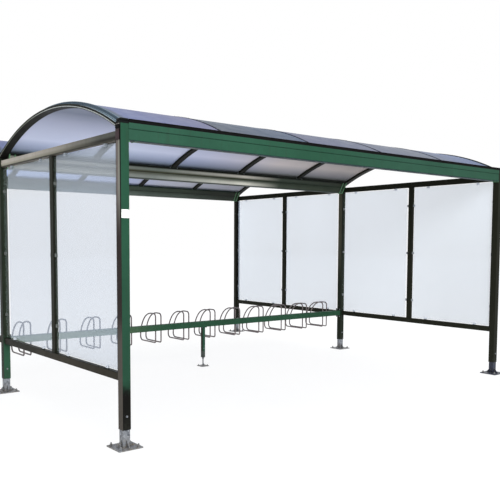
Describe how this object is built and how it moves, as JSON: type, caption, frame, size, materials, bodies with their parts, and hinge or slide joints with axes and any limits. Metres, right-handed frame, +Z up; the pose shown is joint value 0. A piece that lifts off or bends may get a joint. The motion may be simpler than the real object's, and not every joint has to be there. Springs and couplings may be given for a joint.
{
  "type": "open bicycle shelter with a twin barrel-vault roof and wheel rack",
  "caption": "Open bicycle shelter: steel posts carry twin barrel vaults of translucent sheet on a shared valley gutter, with glazed end walls and a wheel-holder rack.",
  "frame": {"origin": "ground level at the middle of the footprint", "axes": "+X along the length of the vaults, -Y towards the open front, +Z up"},
  "size_m": [5.13, 5.2, 2.707],
  "materials": {
    "green_paint": "gloss powder coat, moss green",
    "galvanised_steel": "hot-dip galvanised",
    "black_plastic": "matt moulded",
    "black_rubber": "matt extruded",
    "wall_glass": "clear toughened glass",
    "clip_metal": "satin cast",
    "roof_polycarbonate": "translucent multiwall polycarbonate sheet",
    "cover_aluminium": "dark anodised strip",
    "grey_plastic": "matt moulded",
    "white_plastic": "plain blank plate"
  },
  "bodies": {
    "root": {"front_gutter": "green_paint", "front_left_arch": "green_paint", "front_left_foot": "galvanised_steel", "front_left_post": "green_paint", "front_ribs": "green_paint", "front_right_arch": "green_paint", "front_right_foot": "galvanised_steel", "front_right_post": "green_paint", "front_roof_sheets": "roof_polycarbonate", "glass_clips": "clip_metal", "gutter_edge_seals": "black_rubber", "label_plate": "white_plastic", "left_front_glass": "wall_glass", "left_lower_rail": "green_paint", "left_rear_glass": "wall_glass", "left_upper_rail": "green_paint", "middle_left_foot": "galvanised_steel", "middle_left_post": "green_paint", "middle_right_foot": "galvanised_steel", "middle_right_post": "green_paint", "post_caps": "black_plastic", "rack_bar": "green_paint", "rack_leg": "green_paint", "rack_leg_foot": "galvanised_steel", "rack_leg_socket": "grey_plastic", "rear_gutter": "green_paint", "rear_left_arch": "green_paint", "rear_left_foot": "galvanised_steel", "rear_left_post": "green_paint", "rear_ribs": "green_paint", "rear_right_arch": "green_paint", "rear_right_foot": "galvanised_steel", "rear_right_post": "green_paint", "rear_roof_sheets": "roof_polycarbonate", "right_front_glass": "wall_glass", "right_lower_rail": "green_paint", "right_rear_glass": "wall_glass", "right_upper_rail": "green_paint", "roof_cover_strips": "cover_aluminium", "valley_gutter": "green_paint", "wall_mullions": "green_paint", "wheel_holders_10_to_12": "galvanised_steel", "wheel_holders_1_to_3": "galvanised_steel", "wheel_holders_4_to_6": "galvanised_steel", "wheel_holders_7_to_9": "galvanised_steel"}
  },
  "joints": []
}
